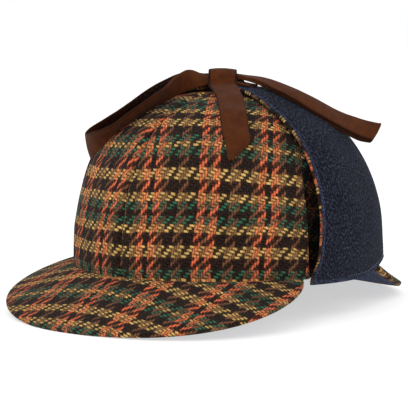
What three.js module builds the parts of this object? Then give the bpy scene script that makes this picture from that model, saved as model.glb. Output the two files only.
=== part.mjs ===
// Deerstalker hat with its ear flaps turned up and tied in a bow over the crown.
// Millimetres, +Z up. The front peak points along -Y and the wearer's left is +X.
// The hat rests on the edges of its two peaks, with the crown's rim level above them.
import * as THREE from 'three';

// ---- Crown: a dome over an oval rim, cut from four panels ----
const CROWN = {
  halfWidth: 91.5, // outside, side to side
  halfLength: 97.5, // outside, front to back
  height: 104, // rim to top
  fullness: 2.44, // 2 is an ellipsoid, more is squarer at the shoulder
  wall: 2.5, // cloth, interlining and lining together
  panels: 4, // seams at front, back and both sides
  panelSteps: 12, // facets across one panel
  riseSteps: 14, // facets from rim to top
  topHole: 1.2, // radius where the panel points meet under the knot
};
// Under each flap the crown's side is drawn in, which leaves a deep fold along the flap's front edge.
const SIDE_TUCK = {
  depth: 6,
  front: [67, 76], // bearings between which it deepens
  rear: [112, 132], // bearings between which it runs out
  rimShare: 0.35, // share of the depth at the rim
  foot: 6, // rise in degrees at which it is full
  top: [36, 66], // rises between which it runs out
};
const SEAM_GAP = 0.3; // between any two neighbouring pieces

// ---- Peaks: two stiffened tongues, cloth above and lining below ----
const PEAK_CLOTH = 2.4; // top cloth with its board
const PEAK_LINING = 1.1;
const PEAK_TUCK = 2.2; // how far a peak reaches in under the crown's wall
// drop is the fall at full reach, arch the rise of its sides; blunt and end set its outline.
const FRONT_PEAK = { facing: 0, halfSpread: 65.8, reach: 46.5, drop: 24.4, blunt: 3.2, end: 0.8, arch: 12.4 };
const REAR_PEAK = { facing: 180, halfSpread: 59, reach: 32, drop: 25.2, blunt: 2.4, end: 0.75, arch: 0 };
const PEAK_STEPS = { across: 24, out: 6, crowding: 1.9 }; // rows crowd towards the free edge
const PEAK_ENDS = 0.985; // share of the spread used, short of the point where the edge meets the rim
const REST_LAND = 1.3; // height by which each peak's lowest edge is pressed flat

// ---- Ear flaps: tongues hinged at the rim and turned up over the crown ----
const FLAP = {
  middle: 98, // bearing of its centre line from the front, in degrees
  frontSpread: 28, // at the rim, in degrees to each side of the centre line
  rearSpread: 35,
  frontTaper: { left: 0.55, right: 0.4 }, // the right flap is wider where the bow pulls it forward
  rearTaper: 0.48,
  foot: -2.4, // elevation of its folded lower edge, in degrees
  rearFoot: 1.4, // the same over the end of the rear peak, reached between shares overPeak of its width
  overPeak: [0.7, 0.86],
  footShrink: 0.3, // share of an inset taken at the foot
  tip: 85.5, // elevation where its sides meet
  blunt: 0.985, // share of that elevation where the tip is cut off round
  cloth: 1.5,
  lining: 1.4,
  layerGap: 0.4,
  turnedEdge: 1.7, // degrees of cloth that show round the lining
  // How far it stands off the crown. Heights are shares of the way from its foot to its tip.
  footLift: 0.8,
  hinge: 0.12, // height by which it has left the rim
  sideLift: 2.7, // over the crown's upright side
  settling: [0.2, 0.66], // heights between which it comes to lie on the dome
  topLift: 0.6, // where it lies on the dome
  belly: { lift: 4.6, from: -0.04, to: 0.74, fullness: 0.7, across: [-0.2, 1] }, // the front edge bows out
  tipLift: 0.6, // more at the tip, from height tipFrom
  tipFrom: 0.7,
  steps: { across: 10, up: 15 },
};

// ---- Ties: flat leather straps in a bow ----
const STRAP = { width: 16, thick: 1.4 };
const BOW_BEARING = 128.3; // of the left loop; the right loop points away from it, the front tail across
const BACK_TAIL_BEARING = 200; // the back tail leaves the knot between the two flaps
const KNOT = { length: 15, depth: 11, height: 7.4, centre: 113.2, corner: 3 };

const CLOTH_LOOK = { color: 0x7a5a36, roughness: 0.95, metalness: 0 };
const LINING_LOOK = { color: 0x2b3044, roughness: 0.95, metalness: 0 };
const LEATHER_LOOK = { color: 0x5a3020, roughness: 0.7, metalness: 0 };

const { degToRad: radians, radToDeg: degrees, lerp: mix, smoothstep } = THREE.MathUtils;
const bump = (t) => Math.sin(Math.PI * THREE.MathUtils.clamp(t, 0, 1));

/** A unit vector in the rim plane: 0 is the front, 90 the wearer's left. */
function bearing(degrees) {
  const a = radians(degrees);
  return new THREE.Vector3(Math.sin(a), -Math.cos(a), 0);
}

/** The point of the dome, grown outwards by lift, that lies in a direction from the rim's centre. */
function domePoint(direction, lift) {
  const { halfWidth, halfLength, height, fullness } = CROWN;
  const across = Math.hypot(direction.x / (halfWidth + lift), direction.y / (halfLength + lift));
  const up = Math.abs(direction.z) / (height + lift);
  const size = Math.pow(across ** fullness + up ** fullness, -1 / fullness);
  return direction.clone().multiplyScalar(size);
}

/** How far the crown is drawn in under a flap, at a bearing and a rise in degrees. */
function sideTuck(bearingDegrees, rise) {
  const { depth, front, rear, rimShare, foot, top } = SIDE_TUCK;
  const side = Math.abs(THREE.MathUtils.euclideanModulo(bearingDegrees + 180, 360) - 180);
  const across = smoothstep(side, ...front) * (1 - smoothstep(side, ...rear));
  const up = mix(rimShare, 1, smoothstep(rise, 0, foot)) * (1 - smoothstep(rise, ...top));
  return depth * across * up;
}

/** A closed mesh from a list of corner points and faces of three or four corners, facing out. */
function closedGeometry(points, faces) {
  const corners = faces.flatMap((f) => (f.length === 4 ? [f[0], f[1], f[2], f[0], f[2], f[3]] : f));
  let volume = 0;
  const cross = new THREE.Vector3();
  for (let i = 0; i < corners.length; i += 3) {
    cross.crossVectors(points[corners[i + 1]], points[corners[i + 2]]);
    volume += points[corners[i]].dot(cross);
  }
  if (volume < 0) corners.reverse();
  const geometry = new THREE.BufferGeometry();
  geometry.setAttribute('position', new THREE.Float32BufferAttribute(points.flatMap((p) => p.toArray()), 3));
  geometry.setIndex(corners);
  geometry.computeVertexNormals();
  return geometry;
}

/** A thin solid between two surfaces given over the same grid: surface(u, v, side), side 0 or 1. */
function sheet(uSteps, vSteps, surface) {
  const points = [];
  const at = (i, j, side) => (side * (vSteps + 1) + j) * (uSteps + 1) + i;
  for (const side of [0, 1]) {
    for (let j = 0; j <= vSteps; j += 1) {
      for (let i = 0; i <= uSteps; i += 1) points.push(surface(i / uSteps, j / vSteps, side));
    }
  }
  const faces = [];
  for (let j = 0; j < vSteps; j += 1) {
    for (let i = 0; i < uSteps; i += 1) {
      faces.push([at(i, j, 0), at(i + 1, j, 0), at(i + 1, j + 1, 0), at(i, j + 1, 0)]);
      faces.push([at(i, j, 1), at(i, j + 1, 1), at(i + 1, j + 1, 1), at(i + 1, j, 1)]);
    }
    faces.push([at(0, j, 0), at(0, j + 1, 0), at(0, j + 1, 1), at(0, j, 1)]);
    faces.push([at(uSteps, j, 0), at(uSteps, j, 1), at(uSteps, j + 1, 1), at(uSteps, j + 1, 0)]);
  }
  for (let i = 0; i < uSteps; i += 1) {
    faces.push([at(i, 0, 0), at(i, 0, 1), at(i + 1, 0, 1), at(i + 1, 0, 0)]);
    faces.push([at(i, vSteps, 0), at(i + 1, vSteps, 0), at(i + 1, vSteps, 1), at(i, vSteps, 1)]);
  }
  return closedGeometry(points, faces);
}

const hat = new THREE.Group();

function addPiece(name, geometry, look) {
  const mesh = new THREE.Mesh(geometry, new THREE.MeshStandardMaterial(look));
  mesh.name = name;
  hat.add(mesh);
}

// ---- Crown panels ----

/** The dome's point at a bearing and a rise, both in degrees, grown outwards by lift. */
function domeAt(bearingDegrees, rise, lift) {
  const a = radians(rise);
  return domePoint(bearing(bearingDegrees).multiplyScalar(Math.cos(a)).setZ(Math.sin(a)), lift);
}

/** One panel: a quarter of the dome, set back from its two seams by half the gap. */
function crownPanel(startBearing) {
  const sweep = 360 / CROWN.panels;
  const topRise = 90 - degrees(Math.atan(CROWN.topHole / CROWN.height));
  return sheet(CROWN.panelSteps, CROWN.riseSteps, (u, v, side) => {
    const rise = topRise * v;
    const wall = side ? -CROWN.wall : 0;
    const nearSeam = startBearing + sweep * Math.round(u);
    const atSeam = domeAt(nearSeam, rise, wall - sideTuck(nearSeam, rise));
    const setBack = degrees(Math.asin(SEAM_GAP / 2 / Math.hypot(atSeam.x, atSeam.y)));
    const toward = startBearing + mix(setBack, sweep - setBack, u);
    return domeAt(toward, rise, wall - sideTuck(toward, rise));
  });
}

// ---- Peaks ----

/** The point at share w across (-1 to 1) and share s out of a peak's top face. */
function peakTop(peak, w, s) {
  const out = bearing(peak.facing + w * peak.halfSpread);
  const rim = new THREE.Vector3(CROWN.halfWidth * out.x, CROWN.halfLength * out.y, 0);
  const normal = new THREE.Vector3(out.x / CROWN.halfWidth, out.y / CROWN.halfLength, 0).normalize();
  const fill = Math.max(1 - Math.abs(w) ** peak.blunt, 0) ** peak.end;
  const along = mix(-PEAK_TUCK, peak.reach * fill, s);
  const share = Math.max(along, 0) / peak.reach;
  const z = -SEAM_GAP - peak.drop * share + peak.arch * w * w * share;
  return rim.addScaledVector(normal, along).setZ(z);
}

/** One layer of a peak, between two depths under its top face. */
function peakLayer(peak, nearDepth, farDepth, floor) {
  const step = 0.01;
  return sheet(PEAK_STEPS.across, PEAK_STEPS.out, (u, v, side) => {
    const w = mix(-PEAK_ENDS, PEAK_ENDS, u);
    const s = 1 - (1 - v) ** PEAK_STEPS.crowding;
    const here = peakTop(peak, w, s);
    const alongWidth = peakTop(peak, w + step, s).sub(peakTop(peak, w - step, s));
    const clearOfTuck = Math.max(s, 0.3);
    const alongReach = peakTop(peak, w, clearOfTuck + step).sub(peakTop(peak, w, clearOfTuck - step));
    const up = alongWidth.cross(alongReach).normalize();
    if (up.z < 0) up.negate();
    const point = here.addScaledVector(up, -(side ? farDepth : nearDepth));
    return point.setZ(Math.max(point.z, floor));
  });
}

// ---- Ear flaps ----

/** How far a flap stands off the crown, at elevation share t and share w across (-1 front, 1 rear). */
function flapLift(t, w) {
  const { lift, from, to, fullness, across } = FLAP.belly;
  const settle = smoothstep(t, 0, FLAP.hinge);
  const body = mix(FLAP.sideLift, FLAP.topLift, smoothstep(t, ...FLAP.settling));
  const belly = lift * smoothstep(-w, ...across) * bump((t - from) / (to - from)) ** fullness;
  return mix(FLAP.footLift, body, settle) + belly * settle + FLAP.tipLift * smoothstep(t, FLAP.tipFrom, 1);
}

/** A point of a flap's inner face, moved outwards by depth; shrink draws its edge in, in degrees. */
function flapPoint(hand, u, v, depth, shrink) {
  const t = FLAP.blunt * v;
  const foot = mix(FLAP.foot, FLAP.rearFoot, smoothstep(u, ...FLAP.overPeak)) + shrink * FLAP.footShrink;
  const elevation = mix(foot, FLAP.tip - shrink, t);
  const narrow = 1 - Math.max(elevation, 0) / FLAP.tip;
  const front = FLAP.frontSpread * narrow ** FLAP.frontTaper[hand > 0 ? 'left' : 'right'] - shrink;
  const rear = FLAP.rearSpread * narrow ** FLAP.rearTaper - shrink;
  const w = mix(-1, 1, u);
  const aside = mix(-Math.max(front, 1), Math.max(rear, 1), u);
  const out = bearing(FLAP.middle);
  const along = bearing(FLAP.middle + 90);
  const a = radians(elevation);
  const b = radians(aside);
  const direction = out.multiplyScalar(Math.cos(b) * Math.cos(a))
    .addScaledVector(along, Math.sin(b))
    .setZ(Math.cos(b) * Math.sin(a));
  const point = domePoint(direction, flapLift(t, w) + depth);
  return point.setX(hand * point.x);
}

function flapLayer(hand, near, far, shrink) {
  return sheet(FLAP.steps.across, FLAP.steps.up, (u, v, side) => (
    flapPoint(hand, u, v, side ? far : near, shrink)));
}

// ---- Bow ----

/** A strap swept through stations, each with its centre, the direction across its face and its width. */
function strap(stations) {
  const last = stations.length - 1;
  const points = stations.flatMap(({ at, across, width }, i) => {
    const along = stations[Math.min(i + 1, last)].at.clone().sub(stations[Math.max(i - 1, 0)].at);
    const face = along.normalize().cross(across).normalize();
    const side = across.clone().multiplyScalar((width ?? STRAP.width) / 2);
    return [[-1, -1], [1, -1], [1, 1], [-1, 1]].map(([w, n]) => (
      at.clone().addScaledVector(side, w).addScaledVector(face, n * STRAP.thick / 2)));
  });
  const faces = [[0, 1, 2, 3], [3, 2, 1, 0].map((k) => 4 * last + k)];
  for (let i = 0; i < last; i += 1) {
    for (let k = 0; k < 4; k += 1) {
      const next = (k + 1) % 4;
      faces.push([4 * i + next, 4 * i + k, 4 * (i + 1) + k, 4 * (i + 1) + next]);
    }
  }
  return closedGeometry(points, faces);
}

/**
 * Stations in the bow's own frame, hand 1 for the wearer's left and -1 for the right. Each row gives the
 * distance out along the bow, ahead of it and up. Its lean is 0 where the strap lies flat and 90 where it
 * stands on edge, and slant is how far its upper edge runs on past the lower one.
 */
function bowStations(hand, rows) {
  const spread = bearing(BOW_BEARING).multiplyScalar(hand);
  const forward = bearing(BOW_BEARING - 90);
  return rows.map(({ out, ahead, up, lean, slant = 0, ...rest }) => ({
    at: spread.clone().multiplyScalar(out).addScaledVector(forward, ahead).setZ(up),
    across: forward.clone().multiplyScalar(-Math.cos(radians(lean))).addScaledVector(spread, slant)
      .setZ(Math.sin(radians(lean))).normalize(),
    ...rest,
  }));
}

/** A strap's stations carried on: folded over at the last one and brought back underneath itself. */
function foldedUnder(stations) {
  const last = stations.length - 1;
  const placed = stations.map((station, i) => {
    const along = stations[Math.min(i + 1, last)].at.clone().sub(stations[Math.max(i - 1, 0)].at).normalize();
    const down = along.clone().cross(station.across).normalize();
    if (down.z > 0) down.negate();
    return { ...station, along, down };
  });
  const { at, across, along, down, under } = placed[last];
  const turn = [45, 90, 135].map((turned) => ({
    at: at.clone().addScaledVector(down, under / 2 * (1 - Math.cos(radians(turned))))
      .addScaledVector(along, under / 2 * Math.sin(radians(turned))),
    across,
  }));
  const back = placed.reverse().map((station) => (
    { ...station, at: station.at.clone().addScaledVector(station.down, station.under) }));
  return [...stations, ...turn, ...back];
}

// The left loop: its upper run from the knot to the end; under is the depth of the run below it.
const LEFT_LOOP = [
  { out: 8.4, ahead: 1, up: 114.8, lean: 4, width: 11, under: 2.3 },
  { out: 20, ahead: 6, up: 112.9, lean: 8, width: 14, under: 2.1 },
  { out: 28, ahead: 12, up: 110.1, lean: 17, under: 2 },
  { out: 36, ahead: 18, up: 107, lean: 22, under: 2 },
  { out: 44, ahead: 22, up: 103.5, lean: 24, under: 2 },
  { out: 52, ahead: 24, up: 99.3, lean: 26, under: 2 },
  { out: 60, ahead: 23, up: 94.9, lean: 27, under: 2.2 },
  { out: 68, ahead: 20, up: 90.6, lean: 28, under: 2.6 },
  { out: 76, ahead: 16, up: 86.7, lean: 29, under: 3 },
  { out: 85, ahead: 12, up: 83, lean: 30, slant: 0.12, under: 3.3 },
  { out: 92.6, ahead: 9.4, up: 80.8, lean: 31, slant: 0.3, under: 3.5 },
];
// The right loop: out along its far run, round on edge at the end, and back along its near run.
const RIGHT_LOOP = [
  { out: 8.4, ahead: -3, up: 110.9, lean: 176, width: 10 },
  { out: 18, ahead: -7, up: 113, lean: 174, width: 13 },
  { out: 27, ahead: -10, up: 112.4, lean: 172 },
  { out: 38, ahead: -12, up: 107.4, lean: 172 },
  { out: 48, ahead: -12, up: 101.4, lean: 172 },
  { out: 59, ahead: -12, up: 94.2, lean: 172 },
  { out: 67.5, ahead: -12, up: 88, lean: 170 },
  { out: 76, ahead: -11, up: 81.2, lean: 162 },
  { out: 81.6, ahead: -8, up: 75.6, lean: 142, slant: 0.1 },
  { out: 84, ahead: -4, up: 72.4, lean: 116, slant: 0.18 },
  { out: 84.6, ahead: 0.6, up: 71.2, lean: 90, slant: 0.2 },
  { out: 83.8, ahead: 5.4, up: 71.2, lean: 64, slant: 0.16 },
  { out: 79.4, ahead: 10.6, up: 73.2, lean: 40, slant: 0.08 },
  { out: 71, ahead: 16, up: 79.6, lean: 20 },
  { out: 59.5, ahead: 20, up: 88.5, lean: 14 },
  { out: 47, ahead: 18, up: 97.3, lean: 14 },
  { out: 38, ahead: 15, up: 103, lean: 18 },
  { out: 28.4, ahead: 10, up: 109.4, lean: 26 },
  { out: 20, ahead: 4.6, up: 113.4, lean: 30, width: 14 },
  { out: 8.4, ahead: 2, up: 113.4, lean: 24, width: 12 },
];

// A tail: first the rows that bring it off the knot, then those that lie on the dome down to its slanted cut.
const OVER_KNOT = [
  { out: -1, up: 118 },
  { out: 3.4, up: 117.8 },
  { out: 6.9, up: 115.6 },
  { out: 8.4, up: 112.2 },
  { out: 11.4, up: 109.2 },
];
const BEHIND_KNOT = [
  { out: 8.8, up: 112.2 },
  { out: 12, up: 110.4 },
  { out: 16, up: 109.2 },
];
const TAIL_ON_DOME = [
  { rise: 76, lift: 3.2, aside: 0 },
  { rise: 69, lift: 2, aside: 0 },
  { rise: 61.5, lift: 1.8, aside: 0 },
  { rise: 55.5, lift: 1.8, aside: 0 },
  { rise: 50, lift: 1.9, aside: 0 },
  { rise: 47, lift: 2, aside: -0.4, width: 15.2 },
  { rise: 39.5, lift: 2.4, aside: -7.4, width: 1.2 },
];
const SWING_BY = 70; // rise by which a tail has swung to its final bearing

function bowTail(toward, offKnot, swing) {
  const across = bearing(toward + 90);
  const off = offKnot.map(({ out, up }) => ({ at: bearing(toward).multiplyScalar(out).setZ(up), across }));
  const lying = TAIL_ON_DOME.map(({ rise, lift, aside, width }) => {
    const swung = swing * Math.min(1, (90 - rise) / (90 - SWING_BY));
    return { at: domeAt(toward + swung, rise, lift).addScaledVector(across, aside), across, width };
  });
  return strap([...off, ...lying]);
}

/** The knot: a rounded block that lies along the bow. */
function knot() {
  const { length, depth, height, corner } = KNOT;
  const x = depth / 2 - corner;
  const y = height / 2 - corner;
  const outline = new THREE.Shape();
  [[x, -y], [x, y], [-x, y], [-x, -y]].forEach(([cornerX, cornerY], i) => {
    outline.absarc(cornerX, cornerY, corner, (i - 1) * Math.PI / 2, i * Math.PI / 2);
  });
  const extrusion = { depth: length, bevelEnabled: false, curveSegments: 4 };
  const geometry = new THREE.ExtrudeGeometry(outline, extrusion);
  const forward = bearing(BOW_BEARING - 90);
  const up = new THREE.Vector3(0, 0, 1);
  geometry.translate(0, 0, -length / 2);
  geometry.applyMatrix4(new THREE.Matrix4().makeBasis(forward, up, forward.clone().cross(up)));
  geometry.translate(0, 0, KNOT.centre);
  return geometry;
}

// The sewn end of a tie, from on top of the flap's tip in towards the knot.
const TIE_ROOT = [
  { out: 18.5, up: 108.7, width: 12 },
  { out: 15, up: 109.1, width: 11 },
  { out: 12.3, up: 109.3, width: 7 },
];

function tieRoot(hand) {
  const across = bearing(hand * FLAP.middle + 90);
  return strap(TIE_ROOT.map(({ out, up, width }) => (
    { at: bearing(hand * FLAP.middle).multiplyScalar(out).setZ(up), across, width })));
}

// ---- Assembly ----

const PANEL_NAMES = ['front_left', 'back_left', 'back_right', 'front_right'];
PANEL_NAMES.forEach((place, i) => {
  addPiece(`crown_${place}_panel`, crownPanel(i * 360 / CROWN.panels), CLOTH_LOOK);
});

const liningTop = PEAK_CLOTH + SEAM_GAP;
const liningUnder = liningTop + PEAK_LINING;
const peakFloor = REST_LAND - Math.min(FRONT_PEAK.drop, REAR_PEAK.drop) - liningUnder;
const clothFloor = peakFloor + PEAK_LINING + SEAM_GAP;
for (const [name, peak] of [['front', FRONT_PEAK], ['rear', REAR_PEAK]]) {
  addPiece(`${name}_peak_cloth`, peakLayer(peak, 0, PEAK_CLOTH, clothFloor), CLOTH_LOOK);
  addPiece(`${name}_peak_lining`, peakLayer(peak, liningTop, liningUnder, peakFloor), LINING_LOOK);
}

const liningNear = FLAP.cloth + FLAP.layerGap;
for (const [name, hand] of [['left', 1], ['right', -1]]) {
  addPiece(`ear_flap_${name}_cloth`, flapLayer(hand, 0, FLAP.cloth, 0), CLOTH_LOOK);
  const lining = flapLayer(hand, liningNear, liningNear + FLAP.lining, FLAP.turnedEdge);
  addPiece(`ear_flap_${name}_lining`, lining, LINING_LOOK);
  addPiece(`tie_root_${name}`, tieRoot(hand), LEATHER_LOOK);
}

addPiece('bow_knot', knot(), LEATHER_LOOK);
addPiece('bow_loop_left', strap(foldedUnder(bowStations(1, LEFT_LOOP))), LEATHER_LOOK);
addPiece('bow_loop_right', strap(bowStations(-1, RIGHT_LOOP)), LEATHER_LOOK);
addPiece('bow_tail_front', bowTail(BOW_BEARING - 90, OVER_KNOT, 5.5), LEATHER_LOOK);
addPiece('bow_tail_back', bowTail(BACK_TAIL_BEARING, BEHIND_KNOT, -8), LEATHER_LOOK);

// The origin is under the middle of the whole hat, on the surface that it rests on.
const box = new THREE.Box3().setFromObject(hat);
const middle = box.getCenter(new THREE.Vector3());
hat.position.set(-middle.x, -middle.y, -box.min.z);

export default hat;
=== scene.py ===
"""A tweed deerstalker hat, its ear flaps turned up and tied in a leather bow over the crown.

Every piece is built in millimetres in the hat's own frame, whose origin is the middle of the rim, with
-Y to the front and +X to the wearer's left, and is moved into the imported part's frame when it is meshed.
"""

import logging
import math
from dataclasses import dataclass, field
from enum import Enum
from typing import Sequence

import bpy
import numpy as np
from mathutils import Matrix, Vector


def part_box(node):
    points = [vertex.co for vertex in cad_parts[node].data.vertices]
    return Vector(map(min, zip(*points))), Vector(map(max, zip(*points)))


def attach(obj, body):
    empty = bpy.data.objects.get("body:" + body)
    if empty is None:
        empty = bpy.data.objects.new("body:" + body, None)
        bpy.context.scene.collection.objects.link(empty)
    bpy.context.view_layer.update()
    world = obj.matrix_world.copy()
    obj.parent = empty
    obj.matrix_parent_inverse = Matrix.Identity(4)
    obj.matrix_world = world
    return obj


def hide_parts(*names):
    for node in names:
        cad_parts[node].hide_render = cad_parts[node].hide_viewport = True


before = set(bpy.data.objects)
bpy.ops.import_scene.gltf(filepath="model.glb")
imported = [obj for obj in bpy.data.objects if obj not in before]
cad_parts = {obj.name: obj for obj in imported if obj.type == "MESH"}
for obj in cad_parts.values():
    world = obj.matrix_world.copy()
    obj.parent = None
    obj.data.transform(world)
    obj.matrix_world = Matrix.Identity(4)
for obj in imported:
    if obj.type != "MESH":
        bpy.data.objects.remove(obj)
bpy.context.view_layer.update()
LOG = logging.getLogger("hat")

MM = 0.001
BODY = "root"
CUT = "cut"  # the UV layer that holds a piece's place on its flat cut pattern, in millimetres
MAP = "ShaderNodeMapRange"
MATH = "ShaderNodeMath"
MIX = "ShaderNodeMix"
NOISE = "ShaderNodeTexNoise"
OUTPUT = "ShaderNodeOutputMaterial"
SURFACE = "ShaderNodeBsdfPrincipled"
VECTOR = "ShaderNodeVectorMath"

Array = np.ndarray
Number = Array | float
Rows = tuple[tuple[float, ...], ...]
Node = bpy.types.Node
Tree = bpy.types.NodeTree
Material = bpy.types.Material


class Slot(Enum):
    """The record's material slots."""

    TWEED = "tweed"
    WOOL = "navy_wool"
    LEATHER = "leather"


class Hand(Enum):
    """The wearer's two sides."""

    LEFT = 1
    RIGHT = -1


# ---------------------------------------------------------------- small sums


def bearing(degrees: Number) -> Array:
    """Unit vectors in the rim plane: 0 is the front, 90 the wearer's left."""
    a = np.radians(np.asarray(degrees, float))
    return np.stack([np.sin(a), -np.cos(a), np.zeros_like(a)], -1)


def smooth(x: Number, low: float, high: float) -> Array:
    """A smooth step from 0 at low to 1 at high."""
    t = np.clip((np.asarray(x, float) - low) / (high - low), 0, 1)
    return t * t * (3 - 2 * t)


def ridge(x: Number, top: float, width: float) -> Array:
    """A bell curve: 1 at top, and falling away over the width."""
    return np.exp(-(((x - top) / width) ** 2))


def mix(a: Number, b: Number, t: Number) -> Number:
    """The value at share t of the way from a to b."""
    return a + (b - a) * t


def unit(v: Array) -> Array:
    """The vectors in v, each made one long."""
    return v / np.maximum(np.linalg.norm(v, axis=-1, keepdims=True), 1e-12)


def lengths_along(line: Array) -> Array:
    """How far along a line of points each of them is."""
    return np.concatenate([[0], np.cumsum(np.linalg.norm(np.diff(line, axis=0), axis=1))])


def ripple(points: Array, wavelength: float, seed: int, waves: int = 7) -> Array:
    """A soft unevenness, as of cloth that has been handled.

    Args:
        points: places in millimetres, with three coordinates in the last axis.
        wavelength: the usual distance from one rise to the next, in millimetres.
        seed: picks one unevenness among many.
        waves: how many plane waves are added up.

    Returns:
        Heights from about -1 to 1, one for each point.
    """
    rng = np.random.default_rng(seed)
    total = np.zeros(points.shape[:-1])
    for _ in range(waves):
        way = unit(rng.normal(size=3)) * math.tau / (wavelength * rng.uniform(0.7, 1.5))
        total += np.sin(points @ way + rng.uniform(0, math.tau))
    return total / math.sqrt(waves)


@dataclass(frozen=True)
class Dome:
    """The crown's outer form: a dome over an oval rim."""

    half_width: float = 91.5
    half_length: float = 97.5
    height: float = 104.0
    fullness: float = 2.44

    def point(self, direction: Array, lift: Number) -> Array:
        """Where the dome, grown outwards by lift, meets directions from the rim's middle.

        Args:
            direction: unit vectors, with three coordinates in the last axis.
            lift: the growth at each of them, in millimetres.

        Returns:
            One point for each direction.
        """
        lift = np.asarray(lift, float)
        x, y, z = (direction[..., k] for k in range(3))
        across = np.hypot(x / (self.half_width + lift), y / (self.half_length + lift))
        up = np.abs(z) / (self.height + lift)
        size = (across**self.fullness + up**self.fullness) ** (-1 / self.fullness)
        return direction * size[..., None]

    def at(self, toward: Array, rise: Array, lift: Number) -> Array:
        """The dome's points at bearings and rises.

        Args:
            toward: the bearings, in degrees.
            rise: how high each is over the rim plane, in degrees.
            lift: how far the dome is grown outwards, in millimetres.

        Returns:
            One point for each bearing.
        """
        a = np.radians(np.asarray(rise, float))
        direction = bearing(toward) * np.cos(a)[..., None]
        direction[..., 2] = np.sin(a)
        return self.point(direction, lift)


DOME = Dome()


# ---------------------------------------------------------------- meshes


def hat_origin() -> Vector:
    """The place of the rim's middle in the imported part's frame, in metres."""
    knot_low, knot_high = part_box("bow_knot")
    rim_low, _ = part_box("crown_front_left_panel")
    middle = (knot_low + knot_high) / 2
    return Vector((middle.x, middle.y, rim_low.z))


ORIGIN = np.array(hat_origin()) / MM


@dataclass
class Shell:
    """Points, four-cornered faces, cut coordinates and material numbers of one mesh, grown part by part."""

    points: list[Array] = field(default_factory=list)
    cuts: list[Array] = field(default_factory=list)
    faces: list[Array] = field(default_factory=list)
    finishes: list[Array] = field(default_factory=list)
    size: int = 0

    def grid(self, points: Array, cuts: Array, finish: int | Array = 0, around: bool = False) -> Array:
        """Adds a grid of points and its faces.

        Args:
            points: rows by columns by 3, in millimetres, rows by columns counted to face outwards.
            cuts: rows by columns by 2, each point's place on the flat pattern, in millimetres.
            finish: the number of the material on these faces, or one for each.
            around: joins the last column to the first.

        Returns:
            The numbers of the points, rows by columns.
        """
        rows, columns = points.shape[:2]
        numbers = self.size + np.arange(rows * columns).reshape(rows, columns)
        self.points.append(points.reshape(-1, 3))
        self.cuts.append(cuts.reshape(-1, 2))
        self.size += rows * columns
        wide = np.concatenate([numbers, numbers[:, :1]], 1) if around else numbers
        self.quads(wide[:-1, :-1], wide[:-1, 1:], wide[1:, 1:], wide[1:, :-1], finish)
        return numbers

    def quads(self, a: Array, b: Array, c: Array, d: Array, finish: int | Array = 0) -> None:
        """Adds the faces whose corners are a, b, c and d in order.

        Args:
            a, b, c, d: the numbers of the corners, one of each for every face.
            finish: the number of their material, or one for each.
        """
        faces = np.stack([a, b, c, d], -1).reshape(-1, 4)
        self.faces.append(faces)
        self.finishes.append(np.broadcast_to(np.ravel(finish), len(faces)))

    def bridge(self, first: Array, second: Array, finish: int = 0) -> None:
        """Joins two runs of as many points with a strip of faces."""
        self.quads(first[:-1], first[1:], second[1:], second[:-1], finish)

    def slab(self, outer: Array, inner: Array, cuts: Array, finishes: tuple = (0, 0)) -> None:
        """Adds both faces of a sheet and closes its four edges.

        Args:
            outer: the outward face's points, rows by columns by 3.
            inner: the other face's, in the same order.
            cuts: their places on the flat pattern.
            finishes: the two faces' material numbers.
        """
        top = self.grid(outer, cuts, finishes[0])
        under = self.grid(inner[:, ::-1], cuts[:, ::-1], finishes[1])[:, ::-1]
        self.bridge(top[0][::-1], under[0][::-1])
        self.bridge(top[-1], under[-1])
        self.bridge(top[:, 0], under[:, 0])
        self.bridge(top[::-1, -1], under[::-1, -1])

    def piece(
        self, name: str, nodes: Sequence[str], materials: Sequence[Material]
    ) -> bpy.types.Object:
        """Makes the object, lets it ride on the hat, and reports it.

        Args:
            name: what the piece is called.
            nodes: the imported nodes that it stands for.
            materials: its finishes, in the order that the faces number them.

        Returns:
            A smooth-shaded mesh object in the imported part's frame, facing outwards.
        """
        points = (np.concatenate(self.points) + ORIGIN) * MM
        faces = np.concatenate(self.faces)
        a, b, c, d = (points[faces[:, k]] for k in range(4))
        volume = (np.cross(c - a, d - b) * (a + b + c + d)).sum()
        if volume < 0:
            faces = faces[:, ::-1]
        mesh = bpy.data.meshes.new(name)
        mesh.vertices.add(len(points))
        mesh.vertices.foreach_set("co", points.astype(np.float32).ravel())
        mesh.loops.add(faces.size)
        mesh.loops.foreach_set("vertex_index", faces.astype(np.int32).ravel())
        mesh.polygons.add(len(faces))
        mesh.polygons.foreach_set("loop_start", np.arange(0, faces.size, 4, dtype=np.int32))
        mesh.polygons.foreach_set("material_index", np.concatenate(self.finishes).astype(np.int32))
        layer = mesh.uv_layers.new(name=CUT)
        corners = np.concatenate(self.cuts)[faces.ravel()]
        layer.data.foreach_set("uv", corners.astype(np.float32).ravel())
        mesh.update()
        mesh.validate()
        mesh.shade_smooth()
        for material in materials:
            mesh.materials.append(material)
        obj = bpy.data.objects.new(name, mesh)
        bpy.context.scene.collection.objects.link(obj)
        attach(obj, BODY)
        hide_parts(*nodes)
        LOG.info("%s: %d faces, for %s", name, len(mesh.polygons), ", ".join(nodes))
        return obj


# ---------------------------------------------------------------- finishes


def linear(hex_colour: str) -> tuple[float, float, float, float]:
    """An sRGB colour such as "#2B3044", turned to linear light."""
    parts = [int(hex_colour[k : k + 2], 16) / 255 for k in (1, 3, 5)]
    return (*(c / 12.92 if c <= 0.04045 else ((c + 0.055) / 1.055) ** 2.4 for c in parts), 1.0)


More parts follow.
